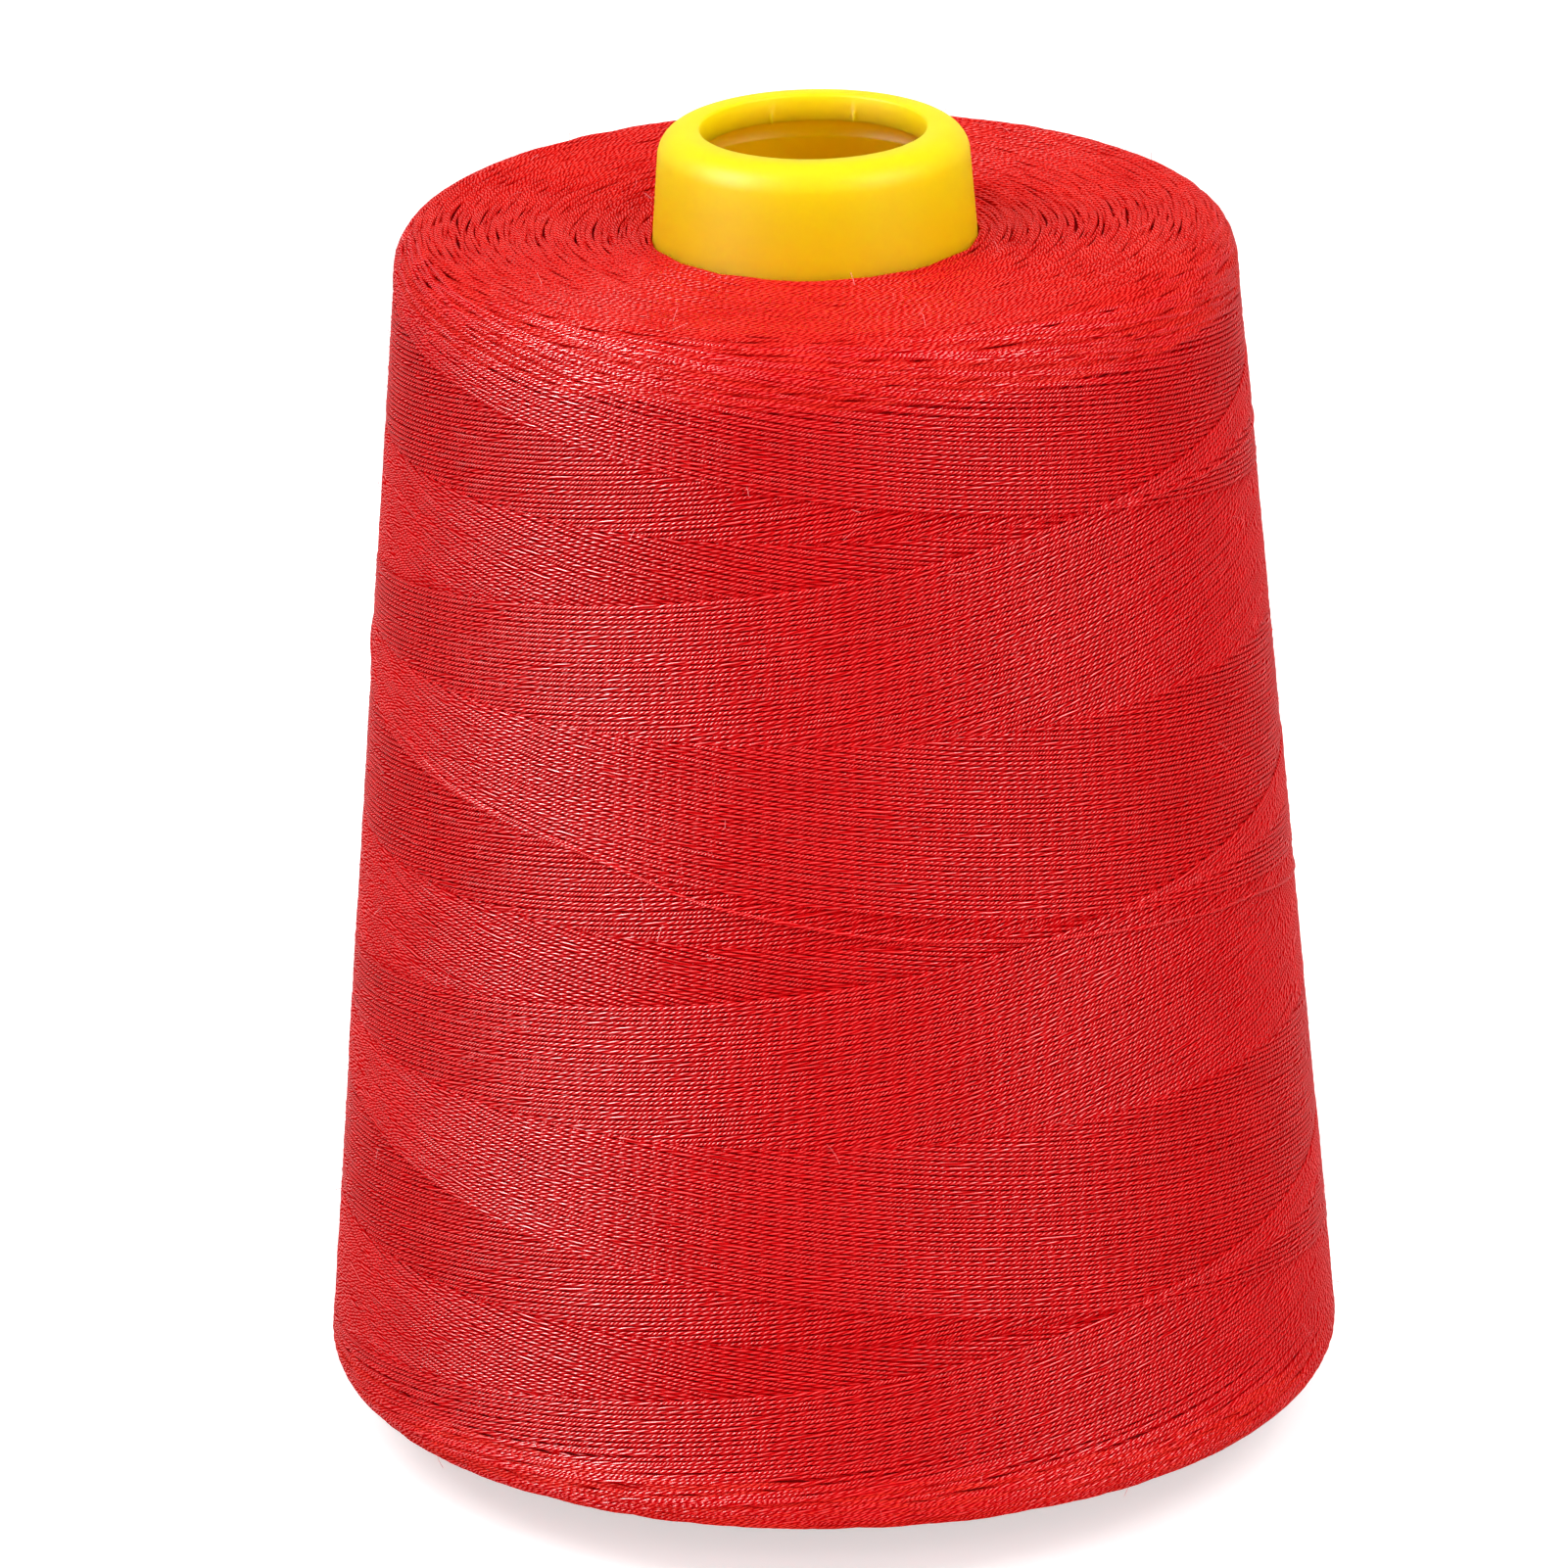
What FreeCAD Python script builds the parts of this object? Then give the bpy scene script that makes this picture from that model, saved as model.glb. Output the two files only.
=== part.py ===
import FreeCAD, Part
import Sketcher
import math
import os

# A cone of sewing thread: a moulded plastic cone, the thread that is cross-wound on it, the
# outermost strokes of that winding, and its loose last turn. Millimetres, +Z up. The origin is
# the centre of the cone's base rim, in the plane that the cone stands on, and -Y is the side
# that the heading of the loose turn is counted from.

SIZES = (
    ("cone_length", 145.0, "base rim to nose rim"),
    ("cone_half_angle", 4.3333, "degrees, the taper of a 4 degree 20 minute cone"),
    ("nose_radius", 16.36, "outer radius of the taper in the plane of the nose rim"),
    ("wall", 2.0, "wall of the cone, measured level"),
    ("bore_radius", 12.0, "hole in the nose"),
    ("collar_depth", 3.0, "length of the hole, below which the cone is hollow"),
    ("nose_round", 2.8, "rounded shoulder of the nose"),
    ("bore_round", 0.3, "broken edge of the hole"),
    ("rim_round", 0.5, "broken edges of the base rim"),
    ("ring_drop", 5.4, "nose rim to the small ring inside the cone"),
    ("ring_section", 0.4, "radius of the ring's round section"),
    ("winding_start", 4.5, "height where the thread begins on the cone"),
    ("winding_end", 133.45, "height where the thread ends on the cone"),
    ("base_end_rise", 2.1, "rise of the lower end face from the cone to its corner"),
    ("nose_end_rise", 1.5, "rise of the upper end face from the cone to its corner"),
    ("package_base_radius", 54.3, "radius of the plain package at its lower corner"),
    ("package_nose_radius", 43.6, "radius of the plain package at its upper corner"),
    ("base_shoulder", 4.0, "rounding of the lower corner"),
    ("nose_shoulder", 4.5, "rounding of the upper corner"),
    ("strand", 0.6, "diameter of a strand in the outer layer"),
    ("strand_gap", 0.45, "free space between an up stroke and the down stroke over it"),
    ("double_strokes", 3, "journeys up and down that the outer layer shows"),
    ("turns_up", 3.0, "turns round the package in an up stroke"),
    ("turns_down", 2.6667, "turns in a down stroke: a third less, so that the next pair starts elsewhere"),
    ("reversal_low", 8.0, "height where the lines of two strokes would meet at the base"),
    ("reversal_high", 132.4, "height where the lines of two strokes would meet at the nose"),
    ("tuck_radius", 1.5, "bend where an end of the thread tucks into the package"),
)

# The loose last turn: heading in degrees from -Y towards +X, and height there.
LOOSE_TURN = (
    (40, 113.2),
    (85, 112.6),
    (130, 111.0),
    (175, 107.5),
    (220, 101.5),
    (262, 91.0),
    (298, 83.3),
    (322, 80.2),
    (345, 75.3),
    (380, 69.8),
    (402, 68.4),
    (424, 65.4),
    (448, 61.2),
    (490, 56.6),
    (535, 54.2),
    (580, 53.0),
)

FULL_CIRCLE = 360
QUARTER_TURN = 0.25
DIRECTION_STEP = 0.001
LEAST_GAP = 0.4
TOLERANCE = 0.02

doc = FreeCAD.newDocument("ThreadCone")
sheet = doc.addObject("Spreadsheet::Sheet", "Sizes")
for row, (alias, number, meaning) in enumerate(SIZES, start=1):
    sheet.set(f"A{row}", alias)
    sheet.set(f"B{row}", str(number))
    sheet.set(f"C{row}", meaning)
    sheet.setAlias(f"B{row}", alias)
doc.recompute()


def size(alias):
    return float(sheet.get(alias))


# ---- Turned pieces: a sketch of the half section, bound to the sheet, and one revolution ----

ROOT_POINT = (-1, 1)
RADIAL_AXIS = -1
LINE_START = 1
LINE_END = 2
CIRCLE_CENTRE = 3


def half_section_sketch(body, name):
    planes = [plane for plane in body.Origin.OriginFeatures if plane.Role == "XZ_Plane"]
    sketch = body.newObject("Sketcher::SketchObject", name)
    sketch.AttachmentSupport = [(planes[0], "")]
    sketch.MapMode = "FlatFace"
    return sketch


def bind(sketch, constraint, name, expression):
    index = sketch.addConstraint(constraint)
    sketch.renameConstraint(index, name)
    sketch.setExpression(f"Constraints.{name}", expression)


def pin_point(sketch, element, place, name, radius, height):
    """Hold a point of the sketch at a radius and a height, both given as expressions."""
    reach = float(sketch.evalExpression(radius))
    constraint = Sketcher.Constraint("DistanceX", *ROOT_POINT, element, place, reach)
    bind(sketch, constraint, f"{name}_radius", radius)
    if height == "0":
        sketch.addConstraint(Sketcher.Constraint("PointOnObject", element, place, RADIAL_AXIS))
        return
    rise = float(sketch.evalExpression(height))
    constraint = Sketcher.Constraint("DistanceY", *ROOT_POINT, element, place, rise)
    bind(sketch, constraint, f"{name}_height", height)


def draw_outline(sketch, corners):
    """Closed outline of straight lines through named corners: name, radius, height."""
    places = [
        FreeCAD.Vector(sketch.evalExpression(radius), sketch.evalExpression(height), 0)
        for name, radius, height in corners
    ]
    for here, there in zip(places, places[1:] + places[:1]):
        sketch.addGeometry(Part.LineSegment(here, there))
    for line, (name, radius, height) in enumerate(corners):
        following = (line + 1) % len(corners)
        joint = Sketcher.Constraint("Coincident", line, LINE_END, following, LINE_START)
        sketch.addConstraint(joint)
        pin_point(sketch, line, LINE_START, name, radius, height)


def draw_bead(sketch, name, radius, height, section):
    """Round section of a ring, its centre held at a radius and a height."""
    centre = FreeCAD.Vector(sketch.evalExpression(radius), sketch.evalExpression(height), 0)
    reach = float(sketch.evalExpression(section))
    circle = sketch.addGeometry(Part.Circle(centre, FreeCAD.Vector(0, 0, 1), reach))
    bind(sketch, Sketcher.Constraint("Radius", circle, reach), f"{name}_section", section)
    pin_point(sketch, circle, CIRCLE_CENTRE, name, radius, height)


def revolve(body, sketch, name):
    feature = body.newObject("PartDesign::Revolution", name)
    feature.Profile = sketch
    feature.ReferenceAxis = (sketch, ["V_Axis"])
    feature.Angle = FULL_CIRCLE
    doc.recompute()
    return feature


def edge_at(feature, radius, height):
    """Name of the round edge whose radius and height are given as expressions."""
    wanted_radius = float(feature.evalExpression(radius))
    wanted_height = float(feature.evalExpression(height))
    for number, edge in enumerate(feature.Shape.Edges, start=1):
        if not isinstance(edge.Curve, Part.Circle):
            continue
        off_radius = abs(edge.Curve.Radius - wanted_radius)
        off_height = abs(edge.Curve.Center.z - wanted_height)
        if max(off_radius, off_height) < TOLERANCE:
            return f"Edge{number}"
    raise ValueError(f"no round edge of radius {wanted_radius} at height {wanted_height}")


def round_edges(body, name, base, rings, radius):
    feature = body.newObject("PartDesign::Fillet", name)
    feature.Base = (base, [edge_at(base, *ring) for ring in rings])
    feature.setExpression("Radius", radius)
    doc.recompute()
    return feature


def cone_radius_at(height):
    taper = "tan(Sizes.cone_half_angle)"
    return f"(Sizes.nose_radius + (Sizes.cone_length - ({height})) * {taper})"


def plastic_cone():
    """One moulding: a thin tapered shell, open at the base, with a thicker collar at the nose."""
    top = "Sizes.cone_length"
    collar_foot = "Sizes.cone_length - Sizes.collar_depth"
    ring_height = "Sizes.cone_length - Sizes.ring_drop"
    bore = "Sizes.bore_radius"
    base_outer = cone_radius_at("0")
    base_inner = f"{base_outer} - Sizes.wall"
    body = doc.addObject("PartDesign::Body", "plastic_cone")

    shell = half_section_sketch(body, "shell_section")
    corners = (
        ("base_inner", base_inner, "0"),
        ("base_outer", base_outer, "0"),
        ("nose_outer", cone_radius_at(top), top),
        ("bore_top", bore, top),
        ("bore_foot", bore, collar_foot),
        ("hollow_top", f"{cone_radius_at(collar_foot)} - Sizes.wall", collar_foot),
    )
    draw_outline(shell, corners)
    turned = revolve(body, shell, "shell")

    ring = half_section_sketch(body, "ring_section")
    ring_radius = f"{cone_radius_at(ring_height)} - Sizes.wall"
    draw_bead(ring, "ring", ring_radius, ring_height, "Sizes.ring_section")
    turned = revolve(body, ring, "inner_ring")

    nose_edges = [(cone_radius_at(top), top)]
    turned = round_edges(body, "nose_rounding", turned, nose_edges, "Sizes.nose_round")
    bore_edges = [(bore, top)]
    turned = round_edges(body, "bore_rounding", turned, bore_edges, "Sizes.bore_round")
    rim_edges = [(base_outer, "0"), (base_inner, "0")]
    round_edges(body, "rim_rounding", turned, rim_edges, "Sizes.rim_round")
    return body


def thread_package():
    """The wound thread under the outer layer, its end faces square to the taper or nearly so."""
    start = "Sizes.winding_start"
    end = "Sizes.winding_end"
    base_corner = ("Sizes.package_base_radius", f"{start} + Sizes.base_end_rise")
    nose_corner = ("Sizes.package_nose_radius", f"{end} + Sizes.nose_end_rise")
    body = doc.addObject("PartDesign::Body", "thread_package")

    section = half_section_sketch(body, "package_section")
    corners = (
        ("base_inner", cone_radius_at(start), start),
        ("base_outer", *base_corner),
        ("nose_outer", *nose_corner),
        ("nose_inner", cone_radius_at(end), end),
    )
    draw_outline(section, corners)
    turned = revolve(body, section, "package")
    turned = round_edges(body, "base_rounding", turned, [base_corner], "Sizes.base_shoulder")
    round_edges(body, "nose_rounding", turned, [nose_corner], "Sizes.nose_shoulder")
    return body


# ---- Strands: each one unbroken tube along a path of arcs that meet in line ----


def package_radius(height):
    """Radius of the plain package's side at a height."""
    low = size("winding_start") + size("base_end_rise")
    high = size("winding_end") + size("nose_end_rise")
    share = (height - low) / (high - low)
    base = size("package_base_radius")
    return base + share * (size("package_nose_radius") - base)


def place_on_package(turn, height, lift):
    """Point at a heading, in turns from -Y towards +X, and a lift off the package's side."""
    angle = 2 * math.pi * turn
    radius = package_radius(height) + lift
    return FreeCAD.Vector(radius * math.sin(angle), -radius * math.cos(angle), height)


def arc_between(start, corner, end):
    """Arc that leaves start towards the corner and reaches end in line with the corner."""
    middle = (start + end) / 2
    half_chord = (end - start).Length / 2
    cosine = half_chord / (corner - start).Length
    crown = middle + (corner - middle) * (cosine / (1 + cosine))
    return Part.Arc(start, crown, end)


def biarc(start, heading, end, end_heading):
    """Two arcs that join two points and match the heading at each."""
    chord = end - start
    along = chord.dot(heading + end_heading)
    spread = 2 * (1 - heading.dot(end_heading))
    reach = (math.sqrt(along ** 2 + spread * chord.dot(chord)) - along) / spread
    first_corner = start + heading * reach
    second_corner = end - end_heading * reach
    joint = (first_corner + second_corner) / 2
    return [arc_between(start, first_corner, joint), arc_between(joint, second_corner, end)]


def tuck(place, heading, turned_in):
    """Bend and straight end that take a strand into the package, square to its side."""
    outward = FreeCAD.Vector(place.x, place.y, 0).normalize()
    outward = (outward - heading * outward.dot(heading)).normalize()
    bend = size("tuck_radius")
    corner = place + heading * (bend if turned_in else -bend)
    foot = corner - outward * bend
    tip = foot - outward * size("strand")
    if turned_in:
        return [arc_between(place, corner, foot), Part.LineSegment(foot, tip)]
    return [Part.LineSegment(tip, foot), arc_between(foot, corner, place)]


def strand_path(route, stops):
    """Path through route(stop) at each stop, with an end tucked in at the first and the last."""
    places = [route(stop) for stop in stops]
    headings = [
        (route(stop + DIRECTION_STEP) - route(stop - DIRECTION_STEP)).normalize()
        for stop in stops
    ]
    curves = tuck(places[0], headings[0], turned_in=False)
    spans = zip(places, headings, places[1:], headings[1:])
    for here, heading, there, next_heading in spans:
        curves += biarc(here, heading, there, next_heading)
    return curves + tuck(places[-1], headings[-1], turned_in=True)


def tube(curves):
    path = Part.Wire([curve.toShape() for curve in curves])
    first = curves[0].StartPoint
    heading = curves[0].EndPoint - first
    profile = Part.Wire(Part.makeCircle(size("strand") / 2, first, heading))
    return path.makePipeShell([profile], True, False)


def strand_piece(name, curves):
    piece = doc.addObject("Part::Feature", name)
    piece.Shape = tube(curves)
    piece.Placement = FreeCAD.Placement()
    return piece


def up_lift():
    """An up stroke lies half sunk in the package."""
    return 0.0


def down_lift():
    """A down stroke passes over the up strokes with the stated gap."""
    return up_lift() + size("strand") + size("strand_gap")


def winding_route(turn):
    """Up strokes and down strokes by turns, each a steady climb or fall."""
    up = size("turns_up")
    down = size("turns_down")
    within = turn % (up + down)
    low = size("reversal_low")
    climb = size("reversal_high") - low
    if within < up:
        return place_on_package(turn, low + climb * within / up, up_lift())
    return place_on_package(turn, low + climb * (up + down - within) / down, down_lift())


def winding_stops():
    """Stops a quarter turn apart, or nearly, and an eighth of a turn clear of each reversal."""
    stops = []
    begun = 0.0
    for stroke in range(2 * round(size("double_strokes"))):
        turns = size("turns_down") if stroke % 2 else size("turns_up")
        run = turns - QUARTER_TURN
        spans = round(run / QUARTER_TURN)
        first = begun + QUARTER_TURN / 2
        stops += [first + run * span / spans for span in range(spans + 1)]
        begun += turns
    return stops


def outer_winding():
    return strand_path(winding_route, winding_stops())


def loose_turn_route(stop):
    """Smooth route through the listed headings, a stop being a place in that list."""
    last = len(LOOSE_TURN) - 1
    index = min(max(int(math.floor(stop)), 0), last - 1)
    share = stop - index
    before, here, there, after = (
        LOOSE_TURN[min(max(index + offset, 0), last)] for offset in (-1, 0, 1, 2)
    )
    degrees, height = (
        here[axis]
        + share * (there[axis] - before[axis]) / 2
        + share ** 2 * (before[axis] - 2.5 * here[axis] + 2 * there[axis] - after[axis] / 2)
        + share ** 3 * (after[axis] - before[axis] + 3 * (here[axis] - there[axis])) / 2
        for axis in (0, 1)
    )
    lift = down_lift() + size("strand")
    return place_on_package(degrees / FULL_CIRCLE, height, lift)


def thread_end():
    return strand_path(loose_turn_route, range(len(LOOSE_TURN)))


# ---- Measures that the tubes have to keep ----

NEXT = (-1, 0, 1)


def least_radius(curves):
    return 1 / max(curve.curvature(curve.FirstParameter) for curve in curves)


def least_gap(curves, own_stretch):
    """Least gap of a strand to itself, on points along it, leaving out its own near stretch."""
    points = []
    travelled = []
    length = 0.0
    for curve in curves:
        count = 2 + math.ceil(curve.length() / size("strand"))
        points += curve.discretize(count)
        travelled += [length + curve.length() * index / (count - 1) for index in range(count)]
        length += curve.length()
    cell = 2 * (size("strand") + size("strand_gap"))
    cells = {}
    for index, point in enumerate(points):
        key = tuple(math.floor(value / cell) for value in point)
        cells.setdefault(key, []).append(index)
    steps = [(right, back, rise) for right in NEXT for back in NEXT for rise in NEXT]
    least = cell
    for key, members in cells.items():
        around = [tuple(map(sum, zip(key, step))) for step in steps]
        near = [index for place in around for index in cells.get(place, ())]
        for index in members:
            for other in near:
                if travelled[other] - travelled[index] > own_stretch:
                    least = min(least, points[index].distanceToPoint(points[other]))
    return least - size("strand")


def report(name, curves, shape):
    length = sum(curve.length() for curve in curves)
    volume = length * math.pi * (size("strand") / 2) ** 2
    gap = least_gap(curves, own_stretch=10 * size("strand"))
    print(f"{name}: length {length:.1f}, least bend radius {least_radius(curves):.2f}")
    print(f"{name}: least gap to itself {gap:.3f}, volume over section x length", end=" ")
    print(f"{shape.Volume / volume:.4f}")
    if gap < LEAST_GAP:
        raise ValueError(f"{name} comes nearer to itself than {LEAST_GAP}")


pieces = [plastic_cone(), thread_package()]
for name, curves in (("outer_winding", outer_winding()), ("thread_end", thread_end())):
    piece = strand_piece(name, curves)
    report(name, curves, piece.Shape)
    pieces.append(piece)

doc.recompute()
for item in doc.Objects:
    if "Invalid" in item.State or "Error" in item.State:
        raise ValueError(f"{item.Label} failed: {item.State}")
for piece in pieces:
    if piece.Shape.isNull() or not piece.Shape.isValid():
        raise ValueError(f"{piece.Label} has no valid shape")

os.makedirs("parts", exist_ok=True)
for piece in pieces:
    piece.Shape.exportStep(f"parts/{piece.Label}.step")
    print(f"{piece.Label}: volume {piece.Shape.Volume:.0f}, solids {len(piece.Shape.Solids)}")
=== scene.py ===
import math

import bmesh
import bpy
import numpy as np
from mathutils import Matrix, Vector


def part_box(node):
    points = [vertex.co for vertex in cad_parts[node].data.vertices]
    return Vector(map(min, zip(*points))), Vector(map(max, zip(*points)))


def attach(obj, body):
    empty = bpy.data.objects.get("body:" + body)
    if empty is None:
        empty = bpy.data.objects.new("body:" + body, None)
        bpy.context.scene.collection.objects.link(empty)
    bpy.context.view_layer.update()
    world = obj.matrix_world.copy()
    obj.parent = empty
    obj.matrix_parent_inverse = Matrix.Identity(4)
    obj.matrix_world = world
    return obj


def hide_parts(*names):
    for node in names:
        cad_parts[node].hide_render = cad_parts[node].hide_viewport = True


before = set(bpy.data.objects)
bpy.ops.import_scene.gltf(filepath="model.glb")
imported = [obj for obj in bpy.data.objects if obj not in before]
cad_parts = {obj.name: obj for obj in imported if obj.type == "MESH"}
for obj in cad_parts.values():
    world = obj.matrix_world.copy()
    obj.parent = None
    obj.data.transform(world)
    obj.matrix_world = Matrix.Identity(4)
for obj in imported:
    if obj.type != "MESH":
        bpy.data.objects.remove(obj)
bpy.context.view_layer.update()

# ---- The cone ----
# One injection moulding of yellow polypropylene: a thin tapered shell, open at the base, with a
# thicker collar round the hole in its nose. The mould leaves a soft gloss, a rounded shoulder
# and a small ring inside, and the wall is thin enough for light to warm it from within.

MM = 0.001
cone_low, cone_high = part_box("plastic_cone")
CONE_HEIGHT = cone_high.z
CONE_BASE_RADIUS = cone_high.x
CONE_HALF_ANGLE = 4.3333
CONE_TAPER = math.tan(math.radians(CONE_HALF_ANGLE))
CONE_WALL = 2.0 * MM
BORE_RADIUS = 12.0 * MM
COLLAR_DEPTH = 3.0 * MM
NOSE_ROUND = 2.8 * MM
BORE_ROUND = 0.3 * MM
RIM_ROUND = 0.5 * MM
INNER_ROUND = 0.2 * MM
RING_DROP = 5.4 * MM
RING_RISE = 0.35 * MM
RING_HALF_WIDTH = 0.5 * MM
MARK_HEIGHT = 1.4 * MM
MARK_RISE = 0.25 * MM
MARK_EDGE = 0.08 * MM
MARK_REACH = 1.0
MARK_HEADINGS = (158.5, 201.5)
BORE_SLACK = 0.05 * MM
TURNED_STEPS = 192
MERGE_WITHIN = 0.001 * MM
NEAR_CORNER = 0.01 * MM
POLYPROPYLENE_YELLOW = "FFC600"
POLYPROPYLENE_CLOUD_AND_BOUNCE = "FFAA00"
CLOUD_SIZE = 9 * MM
CLOUD_SHARE = 0.22
# Painted red bounce light and shade: the heights over which the yellow deepens towards the thread.
PAINTED_BOUNCE_FOOT = 133 * MM
PAINTED_BOUNCE_HEAD = 141.5 * MM
PAINTED_BOUNCE_SHARE = 0.6
GRAIN_SIZE = 0.7 * MM
GRAIN_RELIEF = 0.03 * MM


def linear(hex_colour):
    """sRGB hex to the linear colour that a shader takes."""
    channels = [int(hex_colour[at:at + 2], 16) / 255 for at in (0, 2, 4)]
    low = [channel / 12.92 for channel in channels]
    high = [((channel + 0.055) / 1.055) ** 2.4 for channel in channels]
    picked = [a if c <= 0.04045 else b for c, a, b in zip(channels, low, high)]
    return (*picked, 1.0)


def new_material(name):
    """An empty node material, and its node tree."""
    material = bpy.data.materials.new(name)
    material.use_nodes = True
    material.node_tree.nodes.clear()
    return material, material.node_tree


def add_node(tree, kind, settings=None, links=None):
    """Add a node with its properties and socket values, and the sockets that feed it."""
    node = tree.nodes.new(kind)
    for name, value in (settings or {}).items():
        if isinstance(name, str) and hasattr(node, name):
            setattr(node, name, value)
        else:
            node.inputs[name].default_value = value
    for name, source in (links or {}).items():
        tree.links.new(source, node.inputs[name])
    return node


def finish_piece(piece, material, slot, *nodes):
    """Dress a finished mesh, let it ride on the one body and let it stand for its CAD nodes."""
    piece.data.materials.clear()
    piece.data.materials.append(material)
    bpy.context.scene.collection.objects.link(piece)
    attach(piece, "root")
    if nodes:
        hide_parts(*nodes)


def turned_mesh(name, section, closed, roundings):
    """Turn a half section of (radius, height) points, then round the named rings of edges."""
    shape = bmesh.new()
    points = [shape.verts.new((radius, 0, height)) for radius, height in section]
    pairs = list(zip(points, points[1:]))
    if closed:
        pairs.append((points[-1], points[0]))
    lines = [shape.edges.new(pair) for pair in pairs]
    bmesh.ops.spin(
        shape,
        geom=points + lines,
        axis=(0, 0, 1),
        cent=(0, 0, 0),
        steps=TURNED_STEPS,
        angle=math.tau,
        use_merge=True,
    )
    bmesh.ops.remove_doubles(shape, verts=shape.verts, dist=MERGE_WITHIN)
    bmesh.ops.recalc_face_normals(shape, faces=shape.faces)
    for corner, size, segments in roundings:
        radius, height = section[corner]
        ring = [
            edge
            for edge in shape.edges
            if all(
                abs(vert.co.z - height) < NEAR_CORNER
                and abs(vert.co.xy.length - radius) < NEAR_CORNER
                for vert in edge.verts
            )
        ]
        bmesh.ops.bevel(
            shape,
            geom=ring,
            offset=size,
            offset_type="OFFSET",
            affect="EDGES",
            segments=segments,
            profile=0.5,
            material=-1,
        )
    for face in shape.faces:
        face.smooth = True
    mesh = bpy.data.meshes.new(name)
    shape.to_mesh(mesh)
    shape.free()
    return mesh


def cone_radius(height):
    """Outer radius of the cone at a height."""
    return CONE_BASE_RADIUS - height * CONE_TAPER


collar_foot = CONE_HEIGHT - COLLAR_DEPTH
ring_height = CONE_HEIGHT - RING_DROP
ring_wall = cone_radius(ring_height) - CONE_WALL
cone_section = [
    (cone_radius(0) - CONE_WALL, 0),
    (cone_radius(0), 0),
    (cone_radius(CONE_HEIGHT), CONE_HEIGHT),
    (BORE_RADIUS, CONE_HEIGHT),
    (BORE_RADIUS, collar_foot + MARK_HEIGHT),
    (BORE_RADIUS, collar_foot),
    (cone_radius(collar_foot) - CONE_WALL, collar_foot),
    (ring_wall, ring_height + RING_HALF_WIDTH),
    (ring_wall - RING_RISE, ring_height),
    (ring_wall, ring_height - RING_HALF_WIDTH),
]
# Each rounding gives the corner of the section, its radius and its segments.
cone_roundings = [
    (2, NOSE_ROUND, 10),
    (3, BORE_ROUND, 3),
    (5, INNER_ROUND, 2),
    (8, INNER_ROUND, 3),
    (0, RIM_ROUND, 3),
    (1, RIM_ROUND, 3),
]
cone_mesh = turned_mesh("cone_moulding", cone_section, True, cone_roundings)
cone_moulding = bpy.data.objects.new("cone_moulding", cone_mesh)

# Two narrow ribs stand on the wall of the hole, on its far side.
marks = bmesh.new()
marks.from_mesh(cone_mesh)
for heading in MARK_HEADINGS:
    raised = []
    for face in marks.faces:
        middle = face.calc_center_median()
        off_heading = math.degrees(math.atan2(middle.x, -middle.y)) % 360 - heading
        in_bore = abs(middle.xy.length - BORE_RADIUS) < BORE_SLACK
        low_enough = collar_foot < middle.z < collar_foot + MARK_HEIGHT
        large_enough = face.calc_area() > MARK_EDGE ** 2
        if in_bore and low_enough and large_enough and abs(off_heading) < MARK_REACH:
            raised.append(face)
    bmesh.ops.inset_region(
        marks, faces=raised, thickness=MARK_EDGE, depth=MARK_RISE, use_even_offset=True
    )
marks.to_mesh(cone_mesh)
marks.free()

# Moulded polypropylene: light soaks in and comes out warmer, so it glows from within. It is a
# little cloudy, with only a faint, broad gloss on the surface, and painted bounce light and shade
# deepen its yellow towards orange, by height, near the thread.
plastic, tree = new_material("moulded_polypropylene")
place = add_node(tree, "ShaderNodeTexCoord")
clouding = add_node(
    tree,
    "ShaderNodeTexNoise",
    {"Scale": 1 / CLOUD_SIZE, "Detail": 3.0, "Roughness": 0.55},
    {"Vector": place.outputs["Object"]},
)
tint = add_node(tree, "ShaderNodeMix", {"data_type": "RGBA"})
tint.inputs[6].default_value = linear(POLYPROPYLENE_YELLOW)
tint.inputs[7].default_value = linear(POLYPROPYLENE_CLOUD_AND_BOUNCE)
strength = add_node(
    tree,
    "ShaderNodeMapRange",
    {"From Min": 0.35, "From Max": 0.75, "To Min": 0.0, "To Max": CLOUD_SHARE},
    {"Value": clouding.outputs["Fac"]},
)
apart = add_node(tree, "ShaderNodeSeparateXYZ", None, {"Vector": place.outputs["Object"]})
# Painted bounce light and shade: by height, the yellow deepens towards orange near the thread.
painted_bounce = add_node(
    tree,
    "ShaderNodeMapRange",
    {"From Min": PAINTED_BOUNCE_FOOT, "From Max": PAINTED_BOUNCE_HEAD, "To Min": PAINTED_BOUNCE_SHARE, "To Max": 0.0},
    {"Value": apart.outputs["Z"]},
)
cloud_and_painted_bounce = add_node(
    tree,
    "ShaderNodeMath",
    {"operation": "ADD", "use_clamp": True},
    {0: strength.outputs["Result"], 1: painted_bounce.outputs["Result"]},
)
tree.links.new(cloud_and_painted_bounce.outputs["Value"], tint.inputs[0])
grain = add_node(
    tree,
    "ShaderNodeTexNoise",
    {"Scale": 1 / GRAIN_SIZE, "Detail": 2.0},
    {"Vector": place.outputs["Object"]},
)
relief = add_node(
    tree,
    "ShaderNodeBump",
    {"Strength": 0.25, "Distance": GRAIN_RELIEF},
    {"Height": grain.outputs["Fac"]},
)
gloss = add_node(
    tree,
    "ShaderNodeMapRange",
    {"To Min": 0.42, "To Max": 0.5},
    {"Value": clouding.outputs["Fac"]},
)
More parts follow.
